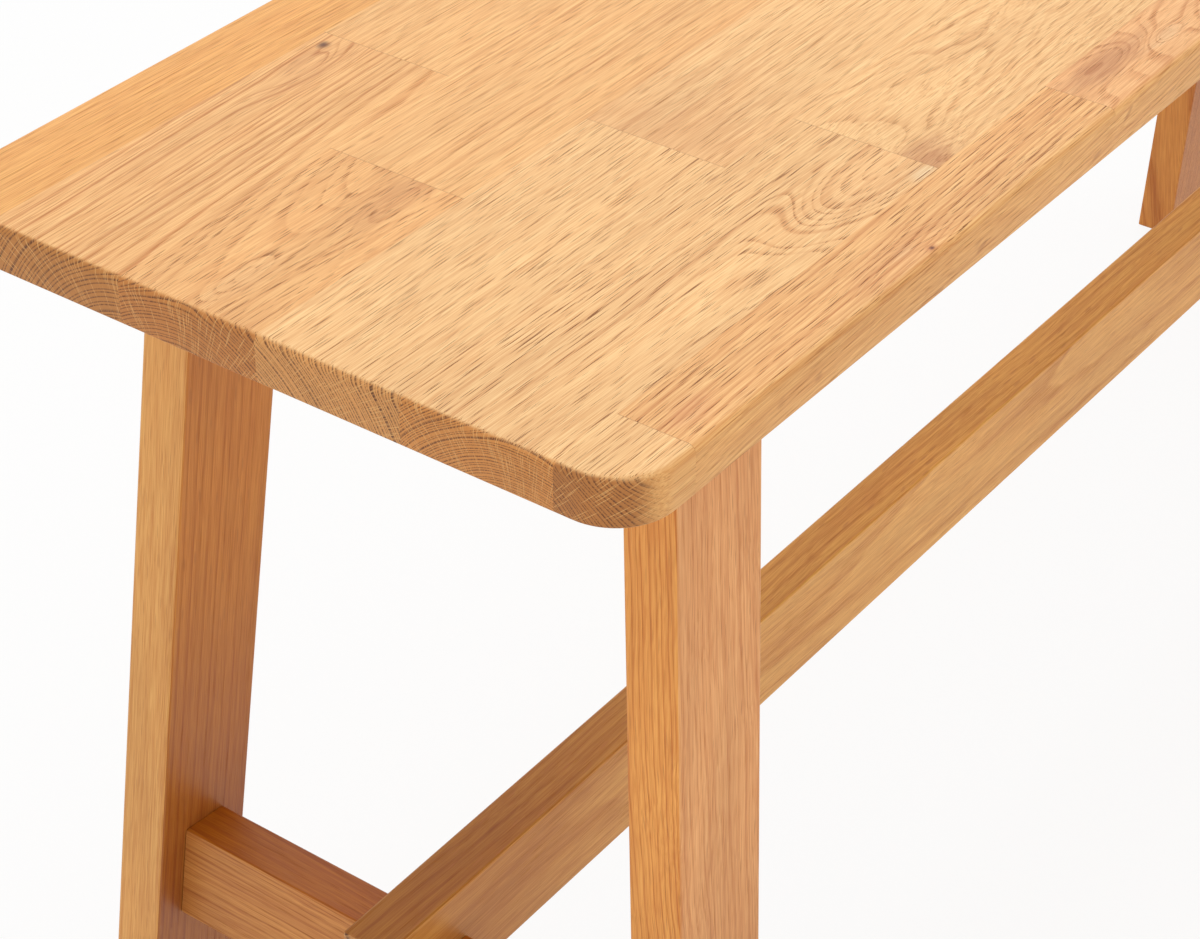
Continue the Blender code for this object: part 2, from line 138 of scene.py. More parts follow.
# The staves, row by row from the near side and each row from the near end, in millimetres: where
# the stave ends; its tone; how strongly its year rings, pores and streaks show; its ring width and
# the place of its tree's pith, across and above the middle of its top; and how far its grain
# wobbles, and drifts across and up in each millimetre.
STAVES = (
    ((32.5, "straw", (0.14, 0.85, 0.24), (1.1, 42, -46), (1.2, 0.00, 0.02)),
     (292, "honey", (0.62, 1.00, 0.60), (1.35, -44, -60), (2.0, 0.02, 0.02)),
     (572, "rose", (0.45, 0.55, 0.38), (2.4, -6, -34), (5.0, 0.02, 0.10)),
     (837, "honey", (0.25, 0.65, 0.26), (2.5, 60, -50), (2.0, 0.00, 0.02)),
     (1060, "straw", (0.25, 0.65, 0.22), (2.2, 20, -60), (2.0, 0.02, 0.03))),
    ((218.5, "straw", (0.42, 1.00, 0.26), (0.95, -18, -54), (2.0, 0.00, 0.00)),
     (503.5, "straw", (0.34, 0.55, 0.22), (1.5, 10, -70), (9.0, 0.05, -0.05)),
     (789.7, "straw", (0.25, 0.65, 0.26), (2.4, -50, -60), (2.5, 0.01, 0.02)),
     (1060, "fawn", (0.35, 0.65, 0.32), (2.8, 0, -30), (3.0, 0.02, 0.10))),
    ((175.5, "straw", (0.18, 0.80, 0.20), (1.2, 66, -56), (1.6, 0.05, 0.02)),
     (445.2, "straw", (0.20, 0.50, 0.26), (1.8, -46, -64), (2.0, 0.01, 0.03)),
     (731.4, "straw", (0.35, 0.65, 0.30), (2.6, 0, -30), (3.0, 0.02, 0.08)),
     (1060, "honey", (0.25, 0.65, 0.24), (2.4, 70, -40), (2.0, 0.00, 0.02))),
    ((106, "fawn", (0.26, 0.90, 0.34), (1.3, 5, -50), (2.5, 0.02, 0.06)),
     (381.6, "honey", (0.34, 0.45, 0.30), (3.0, -64, -50), (1.6, 0.00, 0.02)),
     (651.9, "honey", (0.35, 0.65, 0.34), (2.6, 14, -30), (3.0, 0.02, 0.09)),
     (932.8, "straw", (0.25, 0.65, 0.22), (2.2, 60, -30), (2.0, 0.00, 0.02)),
     (1060, "rose", (0.25, 0.65, 0.30), (2.4, 0, -50), (2.0, 0.00, 0.03))),
    ((171.5, "honey", (0.75, 0.35, 0.34), (1.6, -34, -48), (1.6, 0.03, 0.02)),
     (466.4, "honey", (0.24, 0.40, 0.24), (1.8, 64, -60), (1.5, 0.00, 0.01)),
     (763.2, "fawn", (0.35, 0.65, 0.36), (2.6, 0, -36), (3.0, 0.02, 0.08)),
     (1060, "honey", (0.25, 0.65, 0.26), (2.4, -60, -40), (2.0, 0.00, 0.02))),
    ((249.1, "amber", (0.30, 0.30, 0.30), (1.4, 44, -56), (1.5, 0.00, 0.02)),
     (540.6, "honey", (0.20, 0.65, 0.24), (2.2, -70, -60), (1.5, 0.00, 0.01)),
     (821.5, "amber", (0.30, 0.65, 0.34), (2.6, 10, -40), (3.0, 0.02, 0.08)),
     (1060, "straw", (0.25, 0.65, 0.22), (2.4, 50, -50), (2.0, 0.00, 0.02))),
)
STAVE_TONES = {"straw": "#FDCF90", "honey": "#FBC784", "fawn": "#F9C27E", "rose": "#F9C184",
               "amber": "#F8BA6A"}
SIDE_TONE = "#F4BC74"
ROW_END_TONES = ("#B77537", "#D38B45", "#D99855", "#C47D3A", "#BE7C3A", "#CA8845")

row_lines = [FIRST_ROW - SEAT_WIDTH / 2 + number * ROW_WIDTH for number in range(ROWS - 1)]
row_sides = [-SEAT_WIDTH / 2] + row_lines + [SEAT_WIDTH / 2]
for line in row_lines:
    shape(panel, "faces", all_faces, bpy.ops.mesh.bisect, plane_co=(0, line, 0), plane_no=(0, 1, 0))

for row, staves in enumerate(STAVES):
    def row_faces(face):
        return row_sides[row] < face.calc_center_median().y < row_sides[row + 1]

    for stave in staves[:-1]:
        shape(panel, "faces", row_faces, bpy.ops.mesh.bisect,
              plane_co=(stave[0] * MM - SEAT_LENGTH / 2, 0, 0), plane_no=(1, 0, 0))


def linear(tone):
    """An sRGB hex colour as the linear colour that a shader takes."""
    parts = [int(tone[i:i + 2], 16) / 255 for i in (1, 3, 5)]
    return [c / 12.92 if c <= 0.04045 else ((c + 0.055) / 1.055) ** 2.4 for c in parts] + [1.0]


# Each face of the panel is told which stave it belongs to, for the material to read.
for name, kind in (("tone", "FLOAT_COLOR"), ("end_tone", "FLOAT_COLOR"), ("figure", "FLOAT_VECTOR"),
                   ("middle", "FLOAT_VECTOR"), ("pith", "FLOAT_VECTOR"), ("drift", "FLOAT_VECTOR"),
                   ("ends", "FLOAT_VECTOR"), ("number", "FLOAT")):
    panel.data.attributes.new("stave_" + name, kind, "FACE")
facts = panel.data.attributes
half_length, half_width = SEAT_LENGTH / 2 / MM, SEAT_WIDTH / 2 / MM
LONGEST_ROW = max(len(staves) for staves in STAVES)
for face in panel.data.polygons:
    row = sum(face.center.y > line for line in row_lines)
    from_end = (face.center.x - HAIR) / MM + half_length
    place = next(i for i, stave in enumerate(STAVES[row]) if from_end < stave[0])
    start = STAVES[row][place - 1][0] if place else 0
    end, tone, figure, pith, drift = STAVES[row][place]
    across = (row_sides[row] + row_sides[row + 1]) / 2 / MM
    middle = ((start + end) / 2 - half_length, across, SEAT_TOP / MM)
    facts["stave_tone"].data[face.index].color = linear(STAVE_TONES[tone])
    facts["stave_end_tone"].data[face.index].color = linear(ROW_END_TONES[row])
    facts["stave_figure"].data[face.index].vector = figure
    facts["stave_middle"].data[face.index].vector = middle
    facts["stave_pith"].data[face.index].vector = pith
    facts["stave_drift"].data[face.index].vector = drift
    facts["stave_ends"].data[face.index].vector = (start - half_length, end - half_length, 0)
    facts["stave_number"].data[face.index].value = LONGEST_ROW * row + place


def put(tree, kind, values=None, output=0, **settings):
    """Adds one node: sets its options, fills or links its sockets, and hands back one of its outputs."""
    node = tree.nodes.new("ShaderNode" + kind)
    for option, choice in settings.items():
        setattr(node, option, choice)
    for socket, value in (values or {}).items():
        if isinstance(value, bpy.types.NodeSocket):
            tree.links.new(value, node.inputs[socket])
        else:
            node.inputs[socket].default_value = value
    return node.outputs[output]


# Sizes of the grain, in millimetres along, across and through the board: its slow wander and finer
# curl, pores, rays, streaks, fibre and clouds. Real pores and fibre are too fine to show, so these
# are drawn about twice as coarse.
WANDER, CURL = (150.0, 55.0, 55.0), (26.0, 9.0, 9.0)
PORE, RAY = (20.0, 0.44, 0.44), (20.0, 0.8, 16.0)
STREAK, FIBRE, CLOUD = (150.0, 2.6, 2.6), (22.0, 0.42, 0.42), (90.0, 18.0, 18.0)
END_RAY_PITCH, END_RAY_LENGTH, HOLE_PITCH = 0.85, 22.0, 0.45

# How far apart in the pattern two boards lie, so that no two have the same figure
LOG_SPACING = 371.0

# What is left of a place when its part along the grain is dropped
ACROSS = (0.0, 1.0, 1.0)

# The range that a noise mostly spans
NOISE_LOW, NOISE_HIGH = 0.3, 0.7

# The curl's share beside the wander, the middle of the two, and what turns their span into a wobble
CURL_SHARE, SWAY_MIDDLE = (0.10, 0.10, 0.10), (0.55, 0.55, 0.55)
SWAY_REACH = 2.0

# A year's first wood, as shares of the year: where it is full, where it starts to fade, and where
# it is gone
SPRING_FULL, SPRING_FADES, SPRING_GONE = 0.08, 0.12, 0.55

# How fast the weather turns from year to year, how many years' width the rings stray by, and how
# much the first wood shows in the faintest and strongest years
WEATHER_PACE, STRENGTH_PACE = 0.4, 0.37
UNEVEN_YEARS = 1.8
FAINT_YEAR, STRONG_YEAR = 0.35, 1.3

# Pores, as shares of the spacing between them: how wide, and how much wider in a year's first wood.
# Then, as shares of a pore: its solid middle, and the smallest and the largest one.
PORE_WIDTH, SPRING_PORE_GAIN = 0.22, 0.22
PORE_CORE, SMALL_PORE, LARGE_PORE = 0.5, 0.6, 1.35

# Rays, as shares of the spacing between them: where one is solid, and where its soft edge ends
RAY_CORE, RAY_EDGE = 0.10, 0.24
END_RAY_CORE, END_RAY_EDGE = 0.06, 0.26

# The holes of end grain: the noise at which one is faintest and fullest, how much the faintest
# shows, and how far apart in the noise two years' rows lie
HOLE_LOW, HOLE_HIGH, FAINT_HOLE, HOLE_ROW_STEP = 0.38, 0.58, 0.35, 5.3


def solid_oak():
    """The figure of solid oak, worked out in depth so that it turns the corner onto end grain.

    Growth rings lie round a pith line. Open pores crowd each ring's first wood, and rays run out
    from the pith like thin upright leaves. All in millimetres, with X along the grain. Pith holds
    the ring width and the pith's place across and up; Drift holds the wobble and the pith's drift.
    """
    oak = bpy.data.node_groups.new("solid_oak", "ShaderNodeTree")
    for name, kind in (("Place", "Vector"), ("Lift", "Float"), ("Pith", "Vector"), ("Drift", "Vector"),
                       ("Number", "Float")):
        oak.interface.new_socket(name, in_out="INPUT", socket_type="NodeSocket" + kind)
    for name in ("Early", "Pores", "Rays", "End rays", "End pores", "Streaks", "Fibre", "Clouds"):
        oak.interface.new_socket(name, in_out="OUTPUT", socket_type="NodeSocketFloat")
    given = oak.nodes.new("NodeGroupInput").outputs
    result = oak.nodes.new("NodeGroupOutput").inputs

    # Every board comes from a log of its own
    log = put(oak, "VectorMath", {0: (LOG_SPACING, 0.0, 0.0), "Scale": given["Number"]}, operation="SCALE")
    log_place = put(oak, "VectorMath", {0: given["Place"], 1: log}, operation="ADD")

    # The grain's slow wander, and a finer curl in it
    wander = put(oak, "VectorMath", {0: log_place, 1: WANDER}, operation="DIVIDE")
    wander = put(oak, "TexNoise", {"Vector": wander, "Scale": 1.0, "Detail": 1.0}, output="Color")
    curl = put(oak, "VectorMath", {0: log_place, 1: CURL}, operation="DIVIDE")
    curl = put(oak, "TexNoise", {"Vector": curl, "Scale": 1.0, "Detail": 1.0}, output="Color")
    sway = put(oak, "VectorMath", {0: curl, 1: CURL_SHARE, 2: wander}, operation="MULTIPLY_ADD")
    sway = put(oak, "VectorMath", {0: sway, 1: SWAY_MIDDLE}, operation="SUBTRACT")
    wobble = put(oak, "SeparateXYZ", {0: given["Drift"]}, output="X")
    reach = put(oak, "Math", {0: wobble, 1: SWAY_REACH}, operation="MULTIPLY")
    sway = put(oak, "VectorMath", {0: sway, "Scale": reach}, operation="SCALE")
    swayed = put(oak, "VectorMath", {0: given["Place"], 1: sway}, operation="ADD")

    # The way out from the pith, which the drift tilts along the board
    pith = put(oak, "VectorMath", {0: given["Pith"], 1: ACROSS}, operation="MULTIPLY")
    drift = put(oak, "VectorMath", {0: given["Drift"], 1: ACROSS}, operation="MULTIPLY")
    along = put(oak, "SeparateXYZ", {0: given["Place"]}, output="X")
    drift = put(oak, "VectorMath", {0: drift, "Scale": along}, operation="SCALE")
    pith_line = put(oak, "VectorMath", {0: pith, 1: drift}, operation="ADD")
    outward = put(oak, "VectorMath", {0: swayed, 1: pith_line}, operation="SUBTRACT")
    radius = put(oak, "VectorMath", {0: outward, 1: ACROSS}, operation="MULTIPLY")
    radius = put(oak, "VectorMath", {0: radius}, output="Value", operation="LENGTH")
    radius = put(oak, "Math", {0: radius, 1: given["Lift"]}, operation="ADD")

    # Growth rings of uneven width: 0 at the start of a year's first wood, 1 at its last
    ring_width = put(oak, "SeparateXYZ", {0: given["Pith"]}, output="X")
    years = put(oak, "Math", {0: radius, 1: ring_width}, operation="DIVIDE")
    weather = put(oak, "Math", {0: years, 1: given["Number"]}, operation="ADD")
    weather = put(oak, "TexNoise", {"W": weather, "Scale": WEATHER_PACE, "Detail": 1.0},
                  noise_dimensions="1D")
    years = put(oak, "Math", {0: weather, 1: UNEVEN_YEARS, 2: years}, operation="MULTIPLY_ADD")
    season = put(oak, "Math", {0: years}, operation="FRACT")
    early = put(oak, "MapRange", {"Value": season, "From Min": 0.0, "From Max": SPRING_FULL},
                interpolation_type="SMOOTHSTEP")
    early = put(oak, "MapRange", {"Value": season, "From Min": SPRING_FADES, "From Max": SPRING_GONE,
                                  "To Min": early, "To Max": 0.0}, interpolation_type="SMOOTHSTEP")

    # Some years show strongly and others hardly
    year = put(oak, "Math", {0: years, 1: given["Number"]}, operation="ADD")
    year = put(oak, "Math", {0: year}, operation="FLOOR")
    strength = put(oak, "TexNoise", {"W": year, "Scale": STRENGTH_PACE, "Detail": 0.0},
                   noise_dimensions="1D")
    strength = put(oak, "MapRange", {"Value": strength, "From Min": NOISE_LOW, "From Max": NOISE_HIGH,
                                     "To Min": FAINT_YEAR, "To Max": STRONG_YEAR})
    rings = put(oak, "Math", {0: early, 1: strength}, operation="MULTIPLY")

    # Open pores, long spindles along the grain, each of its own size
    grain_place = put(oak, "VectorMath", {0: swayed, 1: log}, operation="ADD")
    pore_place = put(oak, "VectorMath", {0: grain_place, 1: PORE}, operation="DIVIDE")
    pore_way = put(oak, "TexVoronoi", {"Vector": pore_place, "Scale": 1.0, "Randomness": 1.0})
    own_size = put(oak, "MapRange", {"Value": pore_way.node.outputs["Color"], "To Min": SMALL_PORE,
                                     "To Max": LARGE_PORE})
    pore_size = put(oak, "Math", {0: early, 1: SPRING_PORE_GAIN, 2: PORE_WIDTH}, operation="MULTIPLY_ADD")
    pore_size = put(oak, "Math", {0: pore_size, 1: own_size}, operation="MULTIPLY")
    pore_core = put(oak, "Math", {0: pore_size, 1: PORE_CORE}, operation="MULTIPLY")
    pores = put(oak, "MapRange", {"Value": pore_way, "From Min": pore_core, "From Max": pore_size,
                                  "To Min": 1.0, "To Max": 0.0}, interpolation_type="SMOOTHSTEP")

    # Rays, which show as dark flecks where they leave a face end on
    outward_parts = put(oak, "SeparateXYZ", {0: outward}).node.outputs
    bearing = put(oak, "Math", {0: outward_parts["Z"], 1: outward_parts["Y"]}, operation="ARCTAN2")
    girth = put(oak, "VectorMath", {0: pith}, output="Value", operation="LENGTH")
    round_pith = put(oak, "Math", {0: bearing, 1: girth}, operation="MULTIPLY")
    log_along = put(oak, "SeparateXYZ", {0: log_place}, output="X")
    ray_place = put(oak, "CombineXYZ", {"X": log_along, "Y": round_pith, "Z": radius})
    ray_place = put(oak, "VectorMath", {0: ray_place, 1: RAY}, operation="DIVIDE")
    rays = put(oak, "TexVoronoi", {"Vector": ray_place, "Scale": 1.0})
    rays = put(oak, "MapRange", {"Value": rays, "From Min": RAY_CORE, "From Max": RAY_EDGE,
                                 "To Min": 1.0, "To Max": 0.0}, interpolation_type="SMOOTHSTEP")

    # On end grain, pale ray lines and a row of pore holes in each year
    line_across = put(oak, "Math", {0: round_pith, 1: END_RAY_PITCH}, operation="DIVIDE")
    line_out = put(oak, "Math", {0: radius, 1: END_RAY_LENGTH}, operation="DIVIDE")
    end_rays = put(oak, "CombineXYZ", {"X": line_across, "Y": line_out})
    end_rays = put(oak, "TexVoronoi", {"Vector": end_rays, "Scale": 1.0}, voronoi_dimensions="2D")
    end_rays = put(oak, "MapRange", {"Value": end_rays, "From Min": END_RAY_CORE, "From Max": END_RAY_EDGE,
                                     "To Min": 1.0, "To Max": 0.0}, interpolation_type="SMOOTHSTEP")
    hole_across = put(oak, "Math", {0: round_pith, 1: HOLE_PITCH}, operation="DIVIDE")
    own_row = put(oak, "Math", {0: year, 1: HOLE_ROW_STEP}, operation="MULTIPLY")
    holes = put(oak, "CombineXYZ", {"X": hole_across, "Y": own_row})
    holes = put(oak, "TexNoise", {"Vector": holes, "Scale": 1.0, "Detail": 0.0}, noise_dimensions="2D")
    holes = put(oak, "MapRange", {"Value": holes, "From Min": HOLE_LOW, "From Max": HOLE_HIGH,
                                  "To Min": FAINT_HOLE, "To Max": 1.0})
    end_pores = put(oak, "Math", {0: holes, 1: early}, operation="MULTIPLY")

    # Streaks of tone, fine fibre, and broad clouds of warmer wood
    streaks = put(oak, "VectorMath", {0: grain_place, 1: STREAK}, operation="DIVIDE")
    streaks = put(oak, "TexNoise", {"Vector": streaks, "Scale": 1.0, "Detail": 3.0})
    fibre = put(oak, "VectorMath", {0: grain_place, 1: FIBRE}, operation="DIVIDE")
    fibre = put(oak, "TexNoise", {"Vector": fibre, "Scale": 1.0, "Detail": 2.0})
    clouds = put(oak, "VectorMath", {0: grain_place, 1: CLOUD}, operation="DIVIDE")
    clouds = put(oak, "TexNoise", {"Vector": clouds, "Scale": 1.0, "Detail": 2.0})

    for name, value in (("Early", rings), ("Pores", pores), ("Rays", rays), ("End rays", end_rays),
                        ("End pores", end_pores), ("Streaks", streaks), ("Fibre", fibre),
                        ("Clouds", clouds)):
        oak.links.new(value, result[name])
    return oak


SOLID_OAK = solid_oak()

# Tones that darken or lighten the wood, and how much of each shows at most
PORE_TONE, RAY_TONE, DARKENING = "#80481C", "#B06E36", "#DDBFA0"
END_RAY_TONE, HOLE_TONE = "#E6AE6A", "#50260A"
THREAD_SHARE, RAY_SHARE, HOLE_SHARE, END_RAY_SHARE = 0.76, 0.45, 0.90, 0.75
LEAST_CLOUD, MOST_CLOUD = 0.96, 1.06

# The noise at which a streak and a thread of fibre start and are full
STREAK_LOW, STREAK_HIGH = 0.42, 0.75
THREAD_LOW, THREAD_HIGH = 0.35, 0.70

# How squarely a face has to cut the grain to start to show end grain, and to show nothing else
END_STARTS, END_FULL = 0.2, 0.7

# Roughness of the oiled face and of an open pore, and the index of refraction of the oil
SATIN, OPEN_PORE, OIL_IOR = 0.46, 0.75, 1.44

# Relief: the fibre's height, how many times as deep a pore lies, and how much of both shows
FIBRE_HEIGHT, PORE_FALL, RELIEF = 0.024 * MM, -4.0, 0.3

# The Mix node's sockets for colours
FACTOR, FIRST, SECOND, MIXED = 0, 6, 7, 2


def finish_oak(tree, wood, tone, end_tone, grain, ring_share, pore_share, streak_share, seam=0.0):
    """Oiled oak, sanded fine: a satin face whose open pores hold the oil and stay dark.

    End grain drinks more oil, so it is browner, with pale ray lines and rows of pore holes.
    """
    normal = put(tree, "NewGeometry", output="Normal")
    facing = put(tree, "VectorMath", {0: normal, 1: grain}, output="Value", operation="DOT_PRODUCT")
    facing = put(tree, "Math", {0: facing}, operation="ABSOLUTE")
    end_share = put(tree, "MapRange", {"Value": facing, "From Min": END_STARTS, "From Max": END_FULL},
                    interpolation_type="SMOOTHSTEP")
    clouds = put(tree, "MapRange", {"Value": wood["Clouds"], "From Min": NOISE_LOW,
                                    "From Max": NOISE_HIGH, "To Min": LEAST_CLOUD, "To Max": MOST_CLOUD})

    # Long grain, darkened in warm streaks, threads of fibre and each year's first wood
    streaks = put(tree, "MapRange", {"Value": wood["Streaks"], "From Min": STREAK_LOW,
                                     "From Max": STREAK_HIGH})
    streaks = put(tree, "Math", {0: streaks, 1: streak_share}, operation="MULTIPLY")
    threads = put(tree, "MapRange", {"Value": wood["Fibre"], "From Min": THREAD_LOW,
                                     "From Max": THREAD_HIGH, "To Max": THREAD_SHARE})
    rings = put(tree, "Math", {0: wood["Early"], 1: ring_share}, operation="MULTIPLY")
    long_colour = tone
    for share in (streaks, threads, rings):
        long_colour = put(tree, "Mix", {FACTOR: share, FIRST: long_colour, SECOND: linear(DARKENING)},
                          output=MIXED, data_type="RGBA", blend_type="MULTIPLY")
    long_colour = put(tree, "VectorMath", {0: long_colour, "Scale": clouds}, operation="SCALE")
    ray_share = put(tree, "Math", {0: wood["Rays"], 1: RAY_SHARE}, operation="MULTIPLY")
    long_colour = put(tree, "Mix", {FACTOR: ray_share, FIRST: long_colour, SECOND: linear(RAY_TONE)},
                      output=MIXED, data_type="RGBA")

    # End grain
    hole_share = put(tree, "Math", {0: wood["End pores"], 1: HOLE_SHARE}, operation="MULTIPLY")
    end_colour = put(tree, "Mix", {FACTOR: hole_share, FIRST: end_tone, SECOND: linear(HOLE_TONE)},
                     output=MIXED, data_type="RGBA")
    end_colour = put(tree, "VectorMath", {0: end_colour, "Scale": clouds}, operation="SCALE")
    line_share = put(tree, "Math", {0: wood["End rays"], 1: END_RAY_SHARE}, operation="MULTIPLY")
    end_colour = put(tree, "Mix", {FACTOR: line_share, FIRST: end_colour, SECOND: linear(END_RAY_TONE)},
                     output=MIXED, data_type="RGBA")

    # Pores and glue lines, dark on both
    colour = put(tree, "Mix", {FACTOR: end_share, FIRST: long_colour, SECOND: end_colour}, output=MIXED,
                 data_type="RGBA")
    dark_share = put(tree, "Math", {0: wood["Pores"], 1: pore_share}, operation="MULTIPLY")
    dark_share = put(tree, "Math", {0: dark_share, 1: seam}, operation="MAXIMUM")
    colour = put(tree, "Mix", {FACTOR: dark_share, FIRST: colour, SECOND: linear(PORE_TONE)}, output=MIXED,
                 data_type="RGBA")

    shader = tree.nodes["Principled BSDF"]
    shader.inputs["IOR"].default_value = OIL_IOR
    rough = put(tree, "MapRange", {"Value": wood["Pores"], "To Min": SATIN, "To Max": OPEN_PORE})
    height = put(tree, "MapRange", {"Value": wood["Pores"], "To Min": wood["Fibre"], "To Max": PORE_FALL})
    relief = put(tree, "Bump", {"Strength": RELIEF, "Distance": FIBRE_HEIGHT, "Height": height})
    tree.links.new(colour, shader.inputs["Base Color"])
    tree.links.new(rough, shader.inputs["Roughness"])
    tree.links.new(relief, shader.inputs["Normal"])


# Knots and stains: the stave's row and place in it; how far from the near end and the near side;
# half the length and width; how far the rings are lifted there, and how far the grain bows round
# it; the tone, and its share.
MARKS = (
    (5, 1, 146, 249, 42, 12, 5.5, 0.0, "#D6945C", 0.30),
    (5, 1, 152, 257, 26, 5, 0.0, 1.5, "#C07C46", 0.35),
    (5, 1, 163.5, 258.5, 4.4, 3.2, 0.0, 0.0, "#5E2F1B", 0.90),
    (1, 2, 48, 12, 18, 9, 0.0, 0.0, "#E6A070", 0.35),
    (1, 2, 160, 8, 42, 15, 3.0, 3.0, "#D68C5A", 0.25),
    (1, 2, 164, 9, 10, 4, 0.0, 0.0, "#F3C792", 0.45),
    (1, 2, 172, 3, 4.5, 2.6, 0.0, 0.0, "#C46F3C", 0.60),
    (1, 2, 172, 3, 1.9, 1.3, 0.0, 0.0, "#5C2412", 0.90),
    (2, 1, 212, 44, 96, 24, 9.5, 0.0, "#EDB67C", 0.25),
    (2, 1, 212, 31.5, 11, 5.0, 0.0, 0.0, "#FCDDAC", 0.95),
    (2, 2, 221, 35, 28, 15, 6.0, 0.0, "#C88A58", 0.75),
    (1, 3, 322, 20, 46, 11, 7.0, 0.0, "#BC7A4C", 0.55),
    (1, 3, 354, 13, 18, 6, -5.0, 0.0, "#F4CB98", 0.60),
    (3, 2, 172, 118, 90, 60, 0.0, 0.0, "#D4925A", 0.32),
    (4, 1, 96, 166, 44, 12, 5.0, 0.0, "#C47C46", 0.34),
    (4, 1, 24, 173, 26, 9, -3.5, 0.0, "#F8CC92", 0.40),
)

# The ragged edge of a stain: the size of its tatters, how far they reach, and the middle and edge
# of the stain as shares of its half size
TATTER, TORN_SHARE = (16.0, 5.0, 5.0), 0.9
STAIN_CORE, STAIN_EDGE = 0.55, 1.45

# Glue in an end joint, in millimetres from it, and how dark it shows
GLUE_CORE, GLUE_LINE, GLUE_SHARE = 0.05, 0.25, 0.4

# How far a face has to turn sideways to start to count as a long side, and to be one; and how much
# the pores show there
SIDE_STARTS, SIDE_FULL, SIDE_PORES = 0.3, 0.9, 0.35

# Numbers closer than this are the same stave's
SAME_NUMBER = 0.5


def seat_oak():
    """Oiled oak in which every stave has its own figure; the end joints show as hairlines."""
    material = bpy.data.materials.new("oiled_sanded_oak_staves")
    material.use_nodes = True
    tree = material.node_tree
    fact = {name: put(tree, "Attribute", output="Vector", attribute_name="stave_" + name) for name in
            ("middle", "pith", "drift", "ends", "figure", "tone", "end_tone")}
    number = put(tree, "Attribute", output="Fac", attribute_name="stave_number")
    seat_place = put(tree, "VectorMath", {0: put(tree, "TexCoord", output="Object"), "Scale": 1 / MM},
                     operation="SCALE")

    # Knots and stains, ragged, where the rings lift, the grain bows and the tone turns
    tone, lifted, bowed = fact["tone"], 0.0, 0.0
    tatter = put(tree, "VectorMath", {0: seat_place, 1: TATTER}, operation="DIVIDE")
    tatter = put(tree, "TexNoise", {"Vector": tatter, "Scale": 1.0, "Detail": 2.0})
    for row, nth, from_end, from_side, half_long, half_wide, lift, bow, mark_tone, share in MARKS:
        here = (from_end - half_length, from_side - half_width, 0.0)
        way = put(tree, "VectorMath", {0: seat_place, 1: here}, operation="SUBTRACT")
        way = put(tree, "VectorMath", {0: way, 1: (1 / half_long, 1 / half_wide, 0.0)}, operation="MULTIPLY")
        way = put(tree, "VectorMath", {0: way}, output="Value", operation="LENGTH")
        its_stave = LONGEST_ROW * (row - 1) + nth - 1
        same_stave = put(tree, "Math", {0: number, 1: its_stave, 2: SAME_NUMBER}, operation="COMPARE")
        raised = put(tree, "MapRange", {"Value": way, "To Min": same_stave, "To Max": 0.0},
                     interpolation_type="SMOOTHSTEP")
        if lift:
            lifted = put(tree, "Math", {0: raised, 1: lift, 2: lifted}, operation="MULTIPLY_ADD")
        if bow:
            bowed = put(tree, "Math", {0: raised, 1: bow, 2: bowed}, operation="MULTIPLY_ADD")
        torn_way = put(tree, "Math", {0: tatter, 1: TORN_SHARE, 2: way}, operation="MULTIPLY_ADD")
        stained = put(tree, "MapRange", {"Value": torn_way, "From Min": STAIN_CORE, "From Max": STAIN_EDGE,
                                         "To Min": same_stave, "To Max": 0.0},
                      interpolation_type="SMOOTHSTEP")
        stained = put(tree, "Math", {0: stained, 1: share}, operation="MULTIPLY")
        tone = put(tree, "Mix", {FACTOR: stained, FIRST: tone, SECOND: linear(mark_tone)}, output=MIXED,
                   data_type="RGBA")

    place = put(tree, "VectorMath", {0: seat_place, 1: fact["middle"]}, operation="SUBTRACT")
    bowed = put(tree, "CombineXYZ", {"Y": bowed})
    place = put(tree, "VectorMath", {0: place, 1: bowed}, operation="SUBTRACT")
    wood = put(tree, "Group", {"Place": place, "Lift": lifted, "Pith": fact["pith"], "Drift": fact["drift"],
                               "Number": number}, node_tree=SOLID_OAK).node.outputs

    # A hairline of glue where two staves butt
    along = put(tree, "SeparateXYZ", {0: seat_place}, output="X")
    ends = put(tree, "SeparateXYZ", {0: fact["ends"]}).node.outputs
    to_start = put(tree, "Math", {0: along, 1: ends["X"]}, operation="SUBTRACT")
    to_end = put(tree, "Math", {0: ends["Y"], 1: along}, operation="SUBTRACT")
    to_joint = put(tree, "Math", {0: to_start, 1: to_end}, operation="MINIMUM")
    normal = put(tree, "SeparateXYZ", {0: put(tree, "NewGeometry", output="Normal")}).node.outputs
    seam = put(tree, "MapRange", {"Value": to_joint, "From Min": GLUE_CORE, "From Max": GLUE_LINE,
                                  "To Min": GLUE_SHARE, "To Max": 0.0})
    seam = put(tree, "Math", {0: seam, 1: normal["Z"]}, operation="MULTIPLY", use_clamp=True)

    # The long sides were sawn from the staves' paler flanks
    sideways = put(tree, "Math", {0: normal["Y"]}, operation="ABSOLUTE")
    side_share = put(tree, "MapRange", {"Value": sideways, "From Min": SIDE_STARTS,
                                        "From Max": SIDE_FULL}, interpolation_type="SMOOTHSTEP")
    tone = put(tree, "Mix", {FACTOR: side_share, FIRST: tone, SECOND: linear(SIDE_TONE)}, output=MIXED,
               data_type="RGBA")
    rings, pores, streaks = put(tree, "SeparateXYZ", {0: fact["figure"]}).node.outputs
    pores = put(tree, "MapRange", {"Value": side_share, "To Min": pores, "To Max": SIDE_PORES})
    finish_oak(tree, wood, tone, fact["end_tone"], (1.0, 0.0, 0.0), rings, pores, streaks, seam)
    return material


